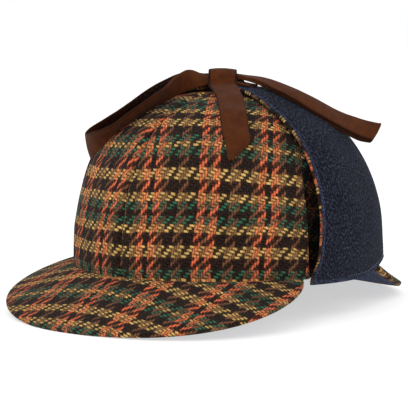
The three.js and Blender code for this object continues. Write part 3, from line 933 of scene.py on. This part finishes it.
@dataclass(frozen=True)
class Peak:
    """A peak: tweed over a board, turned under its edge, with navy wool below."""

    finishes: Finishes
    place: PeakPlace
    tuck: float = 2.2
    board: float = 2.4
    lining: float = 1.1
    floor: float = -26.9  # the surface that the hat rests on
    sewn: float = 4.8  # from the edge to the row of stitches below
    seat: float = 0.25  # its root's height over the rim plane
    crease: tuple[float, float] = (0.9, 1.6)  # depth and width of the crease at the crown
    bend: tuple[float, float, int] = (0.35, 70, 21)  # height, length and pick of its unevenness
    columns: int = 150
    rows: int = 44
    roll_rows: int = 7

    def top(self, w: Array, s: Array) -> Array:
        """Points of the upper face.

        Args:
            w: shares across, from -1 to 1.
            s: shares out from the rim.

        Returns:
            One point for each pair.
        """
        p = self.place.value
        out = bearing(p.facing + w * p.half_spread)
        rim = out * np.array([DOME.half_width, DOME.half_length, 0])
        normal = unit(out / np.array([DOME.half_width, DOME.half_length, 1]))
        fill = np.maximum(1 - np.abs(w) ** p.blunt, 0) ** p.end
        along = mix(-self.tuck, p.reach * fill, s)
        share = np.maximum(along, 0) / p.reach
        point = rim + normal * along[..., None]
        point[..., 2] = self.seat - p.drop * share**p.curve + p.arch * w * w * share
        bend = self.bend[0] * ripple(point, *self.bend[1:]) * np.clip(share * 3, 0, 1)
        point[..., 2] += bend - self.crease[0] * np.exp(-np.maximum(along, 0) / self.crease[1])
        return point

    def up(self, w: Array, s: Array) -> Array:
        """The upward normals of the upper face.

        Args:
            w: shares across, from -1 to 1.
            s: shares out from the rim.

        Returns:
            One unit vector for each pair.
        """
        step = 0.01
        inside = np.clip(s, 0.3, 1.0)
        wide = self.top(np.clip(w + step, -1, 1), s) - self.top(np.clip(w - step, -1, 1), s)
        deep = self.top(w, inside + step) - self.top(w, inside - step)
        normal = unit(np.cross(wide, deep))
        return np.where(normal[..., 2:] < 0, -normal, normal)

    def cut(self, points: Array) -> Array:
        """The points' places on the cloth, whose threads run straight across the peak and straight out.

        Args:
            points: places on the upper face, in millimetres.

        Returns:
            Distances across and along the cloth, in millimetres.
        """
        p = self.place.value
        slope = math.hypot(p.reach, p.drop) / p.reach
        way = -1 if self.place is PeakPlace.FRONT else 1
        out = (way * points[..., 1] - DOME.half_length) * slope
        return np.stack([points[..., 0] + p.first_warp * WARP.pitch, -out + p.first_weft * WEFT.pitch], -1)

    def build(self) -> None:
        """Makes the tweed and the lining."""
        name = self.place.name.lower()
        w = np.linspace(-0.992, 0.992, self.columns)
        w = np.sign(w) * mix(np.abs(w), 1 - (1 - np.abs(w)) ** 1.5, 0.35)
        self.tweed(name, w)
        self.under(name, w)

    def tweed(self, name: str, w: Array) -> None:
        """The tweed: the upper face, the roll over the edge and the hem under it.

        Args:
            name: which peak it is.
            w: the columns' shares across.
        """
        across, out = np.meshgrid(w, 1 - (1 - np.linspace(0, 1, self.rows)) ** 1.5)
        top, up = self.top(across, out), self.up(across, out)
        edge, edge_up = top[-1], up[-1]
        outward = unit(edge - top[-4])
        outward = unit(outward - (outward * edge_up).sum(-1, keepdims=True) * edge_up)
        thick = self.board + self.lining - 0.1
        radius = thick / 2
        angle = np.linspace(0, math.pi, self.roll_rows + 2)[1:-1, None, None]
        roll = edge - edge_up * radius + (edge_up * np.cos(angle) + outward * np.sin(angle) * 0.75) * radius
        turned = outward * self.place.value.hem * np.array([0.0, 0.5, 1.0])[:, None, None]
        inward = np.meshgrid(w, np.linspace(1, 0, 12))
        under = (self.top(*inward) - self.up(*inward) * (self.board - 0.3))[1:]
        rows = np.concatenate([top, roll, edge - edge_up * thick - turned, under])
        rows[..., 2] = np.maximum(rows[..., 2], self.floor + 0.02)
        flat = (top, edge + outward * radius * angle, edge - turned, under)
        shell = Shell()
        self.close(shell, shell.grid(rows, np.concatenate([self.cut(places) for places in flat])))
        shell.piece(f"{name}_peak_tweed", [f"{name}_peak_cloth"], [self.finishes.tweed])

    def under(self, name: str, w: Array) -> None:
        """The lining under the board, let in behind the hem.

        Args:
            name: which peak it is.
            w: the columns' shares across.
        """
        across, out = np.meshgrid(w * 0.985, np.linspace(0, 1, self.rows))
        face = self.top(across, out)
        span = np.linalg.norm(face[-1] - face[0], axis=-1)
        hem = self.place.value.hem
        keep = np.clip(1 - hem / np.maximum(span, hem + 0.5), 0.05, 1)
        face, up = self.top(across, out * keep), self.up(across, out * keep)
        from_edge = (1 - out) * span * keep
        puff = 0.35 * (1 - np.exp(-from_edge / 1.2)) - 0.3 * ridge(from_edge, 2.2, 0.7)
        near = face - up * (self.board - 0.2)
        far = face - up * (self.board + self.lining - 0.2 + puff)[..., None]
        far[..., 2] = np.maximum(far[..., 2], self.floor)
        shell = Shell()
        shell.slab(near, far, self.cut(face))
        one = np.ones_like(w)
        line = self.top(w * 0.96, one * (1 - self.sewn / self.place.value.reach))
        line = line - self.up(w * 0.96, one * 0.9) * (self.board + self.lining + 0.02)
        StitchRow().sew(shell, line, 1)
        # The lining is paler than the flaps' navy wool: painted light.
        materials = [self.finishes.painted_light_wool, self.finishes.blue_thread]
        shell.piece(f"{name}_peak_wool", [f"{name}_peak_lining"], materials)

    @staticmethod
    def close(shell: Shell, numbers: Array) -> None:
        """Closes a grid whose rows run out over a sheet, round its edge and back: its ends and its mouth.

        Args:
            shell: the mesh that holds it.
            numbers: the grid's point numbers, rows by columns.
        """
        rows = len(numbers)
        half = rows // 2
        for column, flip in ((0, 1), (-1, -1)):
            upper, lower = numbers[:half, column], numbers[rows - half :, column][::-1]
            shell.bridge(upper[::flip], lower[::flip])
        shell.bridge(numbers[0][::-1], numbers[-1][::-1])


# ---------------------------------------------------------------- ear flaps


@dataclass(frozen=True)
class EarFlap:
    """An ear flap turned up over the crown: tweed inside, its edge turned out round a navy wool lining."""

    finishes: Finishes
    hand: Hand
    middle: float = 98.0
    front_spread: float = 28.0
    rear_spread: float = 35.0
    rear_taper: float = 0.48
    foot: float = -3.2
    rear_foot: float = 0.6
    over_peak: tuple[float, float] = (0.45, 0.95)
    tip: float = 85.5
    blunt: float = 0.985
    foot_lift: float = 0.8
    rear_foot_lift: float = 3.2
    hinge: float = 0.12
    side_lift: float = 2.7
    settling: tuple[float, float] = (0.2, 0.66)
    top_lift: float = 0.6
    belly: float = 4.6
    belly_from: float = -0.04
    belly_to: float = 0.74
    belly_fullness: float = 0.7
    tip_lift: float = 0.6
    inner_gap: float = 0.9  # between the flap's underside and the sheet that its lifts measure
    radius: float = 102.0  # the crown's, as a round number, to turn degrees into millimetres
    thickness: float = 2.2
    roll: float = 1.1
    turned_edge: float = 1.0  # millimetres of tweed that show round the lining
    paler_edge: float = 2.4  # millimetres of lining along the edge, sewn flat, whose colour is a little paler
    lining_body: float = 0.45  # how far the lining stands up within its edge
    lining_bevel: float = 1.1
    puff: tuple[float, float, float] = (0.25, 1.0, 0.8)  # height, distance from the edge and width
    groove: tuple[float, float, float] = (0.4, 2.4, 0.6)  # the same of the row of stitches
    columns: int = 74
    rows: int = 120

    @property
    def front_taper(self) -> float:
        """How fast the front edge runs in: the right flap is wider where the bow pulls it forward."""
        return 0.52 if self.hand is Hand.LEFT else 0.4

    def lift(self, t: Array, w: Array) -> Array:
        """How far the flap stands off the crown.

        Args:
            t: shares up.
            w: shares across, from -1 at the front to 1.

        Returns:
            Millimetres, one for each pair.
        """
        hinged = smooth(t, 0, self.hinge)
        body = mix(self.side_lift, self.top_lift, smooth(t, *self.settling))
        arc = np.sin(math.pi * np.clip((t - self.belly_from) / (self.belly_to - self.belly_from), 0, 1))
        belly = self.belly * smooth(-w, -0.2, 1) * np.maximum(arc, 0) ** self.belly_fullness
        foot = mix(self.foot_lift, self.rear_foot_lift, smooth(w, 0, 1))
        lift = mix(foot, body, hinged) + belly * hinged + self.tip_lift * smooth(t, 0.7, 1)
        return lift + self.inner_gap

    def lay(self, u: Array, v: Array, inset: float) -> tuple[Array, Array, Array, Array]:
        """The flap's sheet, drawn in by an inset.

        Args:
            u: shares across, 0 at the front edge.
            v: shares up.
            inset: how far in from the whole flap's edge, in millimetres.

        Returns:
            Directions from the rim's middle, lifts, cut coordinates and distances from the sheet's own edge.
        """
        shrink = np.degrees(inset / self.radius)
        foot = mix(self.foot, self.rear_foot, smooth(u, *self.over_peak)) + 0.2 * shrink
        elevation = mix(foot, self.tip - shrink, self.blunt * v)
        narrow = 1 - np.maximum(elevation, 0) / self.tip
        front = np.maximum(self.front_spread * narrow**self.front_taper - shrink, 1)
        rear = np.maximum(self.rear_spread * narrow**self.rear_taper - shrink, 1)
        aside = mix(-front, rear, u)
        a, b = np.radians(elevation), np.radians(aside)
        direction = (
            bearing(self.middle) * (np.cos(b) * np.cos(a))[..., None]
            + bearing(self.middle + 90) * np.sin(b)[..., None]
            + np.array([0, 0, 1.0]) * (np.cos(b) * np.sin(a))[..., None]
        )
        direction[..., 0] *= self.hand.value
        per_degree = math.radians(1) * self.radius
        cuts = np.stack([aside, elevation], -1) * per_degree
        edges = np.minimum(aside + front, rear - aside), np.minimum(elevation - foot, 90 * (1 - v))
        return direction, self.lift(self.blunt * v, mix(-1, 1, u)), cuts, np.minimum(*edges) * per_degree

    def build(self) -> None:
        """Makes the tweed, and the lining with its stitches."""
        share, up = np.linspace(0, 1, self.columns), np.linspace(0, 1, self.rows)
        share = mix(share, (1 - np.cos(math.pi * share)) / 2, 0.75)
        up = mix(up, (1 - np.cos(math.pi * up)) / 2, 0.6)
        name = f"ear_flap_{self.hand.name.lower()}"
        u, v = np.meshgrid(share, up)
        self.tweed(name, *self.lay(u, v, 0.0))
        self.lining(name, *self.lay(u, v, self.turned_edge))

    def rounded(self, to_edge: Array, radius: float) -> Array:
        """A share of the thickness that falls away to nothing at the edge."""
        return np.sqrt(1 - (1 - np.clip(to_edge / radius, 0, 1)) ** 2)

    def tweed(self, name: str, direction: Array, lift: Array, cuts: Array, to_edge: Array) -> None:
        """Makes the tweed, as thick as the whole flap at its rolled edge.

        Args:
            name: which flap it is.
            direction, lift, cuts, to_edge: the sheet, as from lay.
        """
        middle, half = self.thickness / 2, self.thickness / 2 * self.rounded(to_edge, self.roll)
        sunk = 0.9 * smooth(to_edge, self.turned_edge - 0.3, self.turned_edge + 0.8)
        high, low = middle + half - sunk, middle - half
        shell = Shell()
        shell.slab(DOME.point(direction, lift + high), DOME.point(direction, lift + low), cuts)
        # The flap's tweed is darkened as painted shade.
        shell.piece(f"{name}_tweed", [f"{name}_cloth"], [self.finishes.flap_tweed_painted_shade])

    def lining(self, name: str, direction: Array, lift: Array, cuts: Array, to_edge: Array) -> None:
        """Makes the lining, puffed a little along its stitched edge, and sews it.

        Args:
            name: which flap it is.
            direction, lift, cuts, to_edge: the sheet, as from lay.
        """
        soft = 0.35 * ripple(DOME.point(direction, 0), 40, 60 + self.hand.value)
        body = self.lining_body * self.rounded(to_edge, self.lining_bevel)
        body = body + self.puff[0] * ridge(to_edge, *self.puff[1:])
        groove = self.groove[0] * ridge(to_edge, *self.groove[1:])
        high = self.thickness - 0.1 + body - groove + soft * smooth(to_edge, 2, 12)
        low = np.full_like(to_edge, self.thickness - 1.3)
        shell = Shell()
        paler_faces = np.where(to_edge[:-1, 1:] < self.paler_edge, 3, 0)
        shell.slab(DOME.point(direction, lift + high), DOME.point(direction, lift + low), cuts, (paler_faces, 0))
        self.sew(shell)
        f = self.finishes
        materials = [f.wool, f.blue_thread, f.pale_thread, f.edge_wool]
        shell.piece(f"{name}_wool", [f"{name}_lining"], materials)

    def sew(self, shell: Shell) -> None:
        """Sews the lining down along both edges, and along the foot with a paler thread."""
        v = np.linspace(0.01, 0.93, 90)
        for u in (0.0, 1.0):
            direction, lift, _, _ = self.lay(np.full_like(v, u), v, self.turned_edge + 1.3)
            StitchRow(1.7, 2.2, 0.7).sew(shell, DOME.point(direction, lift + self.thickness + 0.25), 1)
        u = np.linspace(0.3, 0.98, 60)
        direction, lift, _, _ = self.lay(u, np.full_like(u, 0.022), self.turned_edge)
        StitchRow(2.0, 2.6, 0.5).sew(shell, DOME.point(direction, lift + self.thickness + 0.1), 2)


# ---------------------------------------------------------------- ties


@dataclass(frozen=True)
class Station:
    """A place along a strap: its middle, the direction across its face and its width."""

    at: Array
    across: Array
    width: float = 16.0


@dataclass(frozen=True)
class Strap:
    """A flat leather strap swept through stations."""

    thickness: float = 1.5
    per_span: int = 7
    columns: int = 9
    flat: float = 0.93  # the share of its half width that is flat
    round_over: float = 0.07  # and the share in its rounded edge
    cup: float = 0.5  # how far its edges curl, in millimetres
    uneven: float = 0.45  # how far handling has bent it out of true, in millimetres
    edge_points: int = 3
    square: bool = True  # its sections stand square to its run, and aslant where not

    def smooth_path(self, values: Array) -> Array:
        """A smooth run through rows of values.

        Args:
            values: one row for each station.

        Returns:
            More rows, several steps from each station to the next.
        """
        padded = np.concatenate([2 * values[:1] - values[1:2], values, 2 * values[-1:] - values[-2:-1]])
        rows = []
        for k in range(1, len(padded) - 2):
            a, b, c, d = padded[k - 1 : k + 3]
            square, cube = 2 * a - 5 * b + 4 * c - d, 3 * b - a - 3 * c + d
            for t in np.linspace(0, 1, self.per_span, endpoint=False):
                rows.append(0.5 * (2 * b + (c - a) * t + square * t**2 + cube * t**3))
        rows.append(values[-1])
        return np.array(rows)

    def ring(self) -> Array:
        """The outline of a section: shares of the half width, and of the half thickness."""
        flat = np.linspace(-self.flat, self.flat, self.columns)
        turn = np.radians(np.linspace(0, 180, self.edge_points + 2)[1:-1])
        top = np.stack([flat, np.ones_like(flat)], -1)
        right = np.stack([self.flat + self.round_over * np.sin(turn), np.cos(turn)], -1)
        return np.concatenate([top, right, -top, -right])

    def sweep(self, shell: Shell, stations: Sequence[Station]) -> float:
        """Adds the strap to a shell.

        Args:
            shell: the mesh that takes it.
            stations: the places that it passes through.

        Returns:
            Its length along its middle, in millimetres.
        """
        middle = self.smooth_path(np.array([s.at for s in stations]))
        across = self.smooth_path(np.array([s.across for s in stations]))
        width = self.smooth_path(np.array([[s.width] for s in stations]))[:, 0]
        along = unit(np.gradient(middle, axis=0))
        if self.square:
            across = across - (across * along).sum(-1, keepdims=True) * along
        across = unit(across)
        face = unit(np.cross(along, across))
        length = lengths_along(middle)
        ring = self.ring()
        side = ring[None, :, 0] * width[:, None] / 2
        lift = ring[None, :, 1] * self.thickness / 2 - self.cup * ring[None, :, 0] ** 2
        points = middle[:, None] + across[:, None] * side[..., None]
        lift = lift + self.uneven * ripple(points, 24, 5) * smooth(length, 4, 14)[:, None]
        points = points + face[:, None] * lift[..., None]
        cuts = np.stack(np.broadcast_arrays(side, length[:, None]), -1)
        numbers = shell.grid(points, cuts, around=True)
        half = len(ring) // 2
        for row in (numbers[0], numbers[-1]):
            shell.bridge(row[:half], row[half:][::-1])
        return float(length[-1])


@dataclass(frozen=True)
class Bow:
    """The ties: two loops, two tails, the knot and the sewn ends, all of one leather strap's width."""

    finishes: Finishes
    toward: float = 128.3
    width: float = 16.0
    knot_reach: tuple[float, float] = (5.0, 3.1)  # from the knot's middle, ahead and up
    knot_height: float = 113.4
    knot_width: float = 15.0
    over_width: float = 17.6  # of the tails where they are pulled over the knot
    over_aside: float = 0.9
    root_toward: float = 98.0
    # Out, ahead, up, lean, slant, width and the depth of the run underneath.
    left_loop: Rows = (
        (3.0, 0.0, 114.2, 4, 0, 11, 2.3), (8.4, 1.0, 114.8, 4, 0, 11, 2.3), (20, 6.0, 112.9, 8, 0, 14, 2.1),
        (28, 12, 110.1, 17, 0, 16, 2), (36, 18, 107.0, 23, 0, 16, 2), (44, 22, 103.4, 27, 0, 16, 2),
        (52, 24, 99.1, 30, 0, 16, 2.2), (60, 23, 94.6, 33, 0, 16, 2.6), (68, 20, 90.2, 35, 0, 16, 3.1),
        (76, 16, 86.3, 37, 0, 16, 3.6), (85, 12, 82.6, 39, 0.16, 16, 3.9), (93.4, 9.4, 80.4, 40, 0.42, 16, 3.7),
    )
    # Out, ahead, up, lean, slant and width, along the far run and back along the near one.
    right_loop: Rows = (
        (3.0, -2.0, 111.0, 176, 0, 10), (8.4, -3.0, 110.9, 176, 0, 10), (18, -7, 114.6, 174, 0, 13),
        (27, -10, 114.6, 172, 0, 16), (38, -12, 109.2, 166, 0, 16), (48, -12, 103.2, 163, 0, 16),
        (59, -12, 95.6, 162, 0, 16), (67.5, -12, 89.6, 162, 0, 16), (76, -11, 83.6, 158, 0, 16),
        (81.6, -8, 78.0, 142, 0.10, 16), (84, -4, 73.8, 116, 0.18, 16), (84.6, 0.6, 71.4, 96, 0.20, 16),
        (83.8, 6.4, 70.6, 106, 0.16, 16), (79.4, 16, 72.6, 126, 0.08, 16), (71, 26, 78.4, 144, 0, 16),
        (59.5, 31.5, 86.9, 153, 0, 16), (47, 30.5, 95.9, 154, 0, 16), (38, 25, 102.0, 148, 0, 15.4),
        (28, 14, 108.6, 112, 0, 13.2), (21, 7.2, 112.2, 72, 0, 12.4), (14, 3.6, 112.4, 42, 0, 11.6),
        (8.4, 2.0, 113.0, 30, 0, 11.6), (3.0, 1.0, 113.2, 24, 0, 12),
    )
    # Rise, lift, aside and width, down to the slanted cut.
    tail_run: Rows = (
        (76, 3.2, 0, 16), (69, 2.0, 0, 16), (61.5, 1.8, 0, 16), (55.5, 1.8, 0, 16),
        (50, 1.9, 0, 16), (47, 2.0, 0.2, 15.4), (39.5, 2.4, -5.2, 1.2),
    )
    # Out and up.
    over_knot: Rows = (
        (-7.6, 110.4), (-7.2, 114.2), (-4.6, 117.2), (-0.8, 118.2),
        (3.4, 117.8), (6.9, 115.6), (8.4, 112.2), (11.4, 109.2),
    )
    behind_knot: Rows = ((4.5, 113.2), (8.8, 112.2), (12, 110.4), (16, 109.2))
    # Out, up and width.
    root_run: Rows = ((20.5, 108.3, 12), (18.5, 108.6, 12), (15, 109.1, 11), (11.5, 109.6, 9), (6.0, 110.6, 8))

    def stations(self, hand: Hand, rows: Rows) -> list[Station]:
        """Stations of a loop.

        Args:
            hand: the side that it lies on.
            rows: places out along the bow, ahead of it and up, with the strap's lean, slant and width.

        Returns:
            One station for each row.
        """
        spread = bearing(self.toward) * hand.value
        forward = bearing(self.toward - 90)
        found = []
        for out, ahead, up, lean, slant, width in (row[:6] for row in rows):
            a = math.radians(lean)
            at = spread * out + forward * ahead + np.array([0, 0, up])
            across = forward * -math.cos(a) + spread * slant + np.array([0, 0, math.sin(a)])
            found.append(Station(at, unit(across), width))
        return found

    def folded(self, stations: list[Station], depths: Sequence[float]) -> list[Station]:
        """A run of strap folded back underneath itself.

        Args:
            stations: the upper run, as far as the fold.
            depths: how far under each of them the lower run lies, in millimetres.

        Returns:
            The stations of both runs and of the fold.
        """
        along = unit(np.gradient(np.array([s.at for s in stations]), axis=0))
        down = unit(np.cross(along, np.array([s.across for s in stations])))
        down = np.where(down[:, 2:] > 0, -down, down)
        half = depths[-1] / 2
        reach = 0.55 * half
        last = stations[-1]
        turn = []
        for a in np.radians([45, 90, 135]):
            at = last.at + down[-1] * half * (1 - math.cos(a)) + along[-1] * reach * math.sin(a)
            turn.append(Station(at, last.across))
        back = [Station(s.at + down[k] * depths[k], s.across, s.width) for k, s in enumerate(stations)]
        return [*stations, *turn, *back[::-1]]

    def tail(self, toward: float, off_knot: Rows, swing: float) -> list[Station]:
        """A tail that comes off the knot and lies on the crown down to its slanted cut.

        Args:
            toward: its bearing.
            off_knot: places out from the knot's middle and up.
            swing: how far it swings aside as it comes down, in degrees.

        Returns:
            Its stations.
        """
        across = bearing(toward + 90)
        found = []
        for out, up in off_knot:
            at = bearing(toward) * out + np.array([0, 0, up]) - across * self.over_aside
            found.append(Station(at, across, self.over_width))
        for rise, lift, aside, width in self.tail_run:
            swung = swing * min(1.0, (90 - rise) / 20)
            at = DOME.at(np.array(toward + swung), np.array(float(rise)), lift + 0.2)
            found.append(Station(at + across * aside, across, width))
        return found

    def strap_piece(
        self, name: str, stations: list[Station], strap: Strap = Strap()
    ) -> None:
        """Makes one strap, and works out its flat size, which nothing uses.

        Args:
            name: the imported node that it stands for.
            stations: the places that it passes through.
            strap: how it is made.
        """
        shell = Shell()
        length = strap.sweep(shell, stations)
        obj = shell.piece(f"{name}_leather", [name], [self.finishes.leather])
        spans = zip(stations, stations[1:])
        area = sum(float(np.linalg.norm(b.at - a.at)) * (a.width + b.width) / 2 for a, b in spans)

    def knot(self) -> None:
        """The knot: a strap wound once and a bit round the crossing ties."""
        forward, line = bearing(self.toward - 90), bearing(self.toward)
        ahead, up = self.knot_reach
        stations = []
        for turn in np.linspace(-0.15, 1.05, 22):
            a = math.tau * turn
            grow = 1 + 0.1 * turn
            height = np.array([0, 0, self.knot_height + up * math.cos(a) * grow])
            stations.append(Station(forward * -ahead * math.sin(a) * grow + height, line, self.knot_width))
        shell = Shell()
        Strap(thickness=1.4, per_span=3).sweep(shell, stations)
        shell.piece("bow_knot_leather", ["bow_knot"], [self.finishes.leather])

    def root(self, hand: Hand) -> None:
        """The sewn end of a tie, on the flap's tip.

        Args:
            hand: the side that it is on.
        """
        toward = hand.value * self.root_toward
        across = bearing(toward + 90)
        stations = []
        for out, up, width in self.root_run:
            stations.append(Station(bearing(toward) * out + np.array([0, 0, up]), across, width))
        shell = Shell()
        Strap(thickness=1.4, cup=0.2).sweep(shell, stations)
        side = hand.name.lower()
        shell.piece(f"tie_end_{side}", [f"tie_root_{side}"], [self.finishes.leather])

    def build(self) -> None:
        """Makes every strap of the bow."""
        left = self.folded(self.stations(Hand.LEFT, self.left_loop), [row[6] for row in self.left_loop])
        self.strap_piece("bow_loop_left", left, strap=Strap(square=False, uneven=0.3))
        self.strap_piece("bow_loop_right", self.stations(Hand.RIGHT, self.right_loop))
        front = self.tail(self.toward - 90, self.over_knot, 5.5)
        self.strap_piece("bow_tail_front", front)
        back = self.tail(200, self.behind_knot, -8)
        self.strap_piece("bow_tail_back", back)
        self.knot()
        for hand in Hand:
            self.root(hand)


# ---------------------------------------------------------------- studio


@dataclass(frozen=True)
class Lamp:
    """An area light that faces the hat."""

    name: str
    toward: float  # its bearing from the hat, as the hat's own bearings
    rise: float  # its height as an angle, in degrees
    away: float  # its distance in metres
    size: float  # the side of its square, in metres
    power: float  # in watts

    def build(self) -> None:
        """Hangs it, aimed 50 mm over the rim's middle."""
        data = bpy.data.lights.new(self.name, "AREA")
        data.size, data.energy = self.size, self.power
        a = math.radians(self.rise)
        way = Vector(tuple(bearing(self.toward) * math.cos(a))) + Vector((0, 0, math.sin(a)))
        lamp = bpy.data.objects.new(self.name, data)
        lamp.location = hat_origin() + Vector((0, 0, 0.05)) + way * self.away
        lamp.rotation_euler = way.to_track_quat("Z", "Y").to_euler()
        bpy.context.scene.collection.objects.link(lamp)


@dataclass(frozen=True)
class Studio:
    """A pale flat floor, a white room, soft lights and the camera."""

    azimuth: float = 38.3
    elevation: float = 7.72
    distance: float = 1.0
    focal_px: float = 1589.0
    target_px: tuple[float, float] = (224.2, 258.5)
    frame_px: float = 408.0
    sensor: float = 36.0
    clip: tuple[float, float] = (0.05, 100.0)
    floor_half: float = 30.0  # metres, so that its edge is far off from every side
    glow: float = 0.55  # the light that the floor gives off
    lamps: tuple[Lamp, ...] = (
        Lamp("key_light", 15, 40, 1.6, 0.9, 6),
        Lamp("low_light", 46, 4, 1.9, 0.5, 4),
    )

    def camera(self) -> None:
        """Sets the camera on the rim's middle."""
        az, el = math.radians(self.azimuth), math.radians(self.elevation)
        back = Vector((math.sin(az) * math.cos(el), -math.cos(az) * math.cos(el), math.sin(el)))
        data = bpy.data.cameras.new("camera")
        data.sensor_width = self.sensor
        data.lens = self.focal_px / self.frame_px * self.sensor
        data.shift_x = -(self.target_px[0] - self.frame_px / 2) / self.frame_px
        data.shift_y = (self.target_px[1] - self.frame_px / 2) / self.frame_px
        data.clip_start, data.clip_end = self.clip
        camera = bpy.data.objects.new("camera", data)
        camera.location = hat_origin() + back * self.distance
        camera.rotation_euler = back.to_track_quat("Z", "Y").to_euler()
        bpy.context.scene.collection.objects.link(camera)
        bpy.context.scene.camera = camera

    def floor(self) -> None:
        """Lays the floor: white acrylic that glows a little, which leaves only a faint shadow on it."""
        material, t = bare_material("white_acrylic_lit_from_below")
        face = add(t, "ShaderNodeBsdfDiffuse", {"Color": linear("#C4C4C4")})
        glow = add(t, "ShaderNodeEmission", {"Color": linear("#FFFFFF"), "Strength": self.glow})
        add(t, OUTPUT, {0: add(t, "ShaderNodeAddShader", {0: face, 1: glow})})
        mesh = bpy.data.meshes.new("floor")
        h = self.floor_half
        mesh.from_pydata([(-h, -h, 0), (h, -h, 0), (h, h, 0), (-h, h, 0)], [], [(0, 1, 2, 3)])
        mesh.materials.append(material)
        floor = bpy.data.objects.new("floor", mesh)
        bpy.context.scene.collection.objects.link(floor)

    def build(self) -> None:
        """Sets the stage."""
        self.camera()
        self.floor()
        for lamp in self.lamps:
            lamp.build()
        world = bpy.data.worlds.new("soft_room")
        world.use_nodes = True
        back = world.node_tree.nodes["Background"]
        back.inputs[0].default_value = (1, 1, 1, 1)
        back.inputs[1].default_value = 1.0
        bpy.context.scene.world = world
        bpy.context.scene.view_settings.view_transform = "Standard"


def main() -> None:
    """Builds the hat and its studio."""
    logging.basicConfig(level=logging.INFO, format="%(message)s")
    Studio().build()
    finishes = Finishes.make()
    Crown(finishes).build()
    for place in PeakPlace:
        Peak(finishes, place).build()
    for hand in Hand:
        EarFlap(finishes, hand).build()
    Bow(finishes).build()


if __name__ == "__main__":
    main()
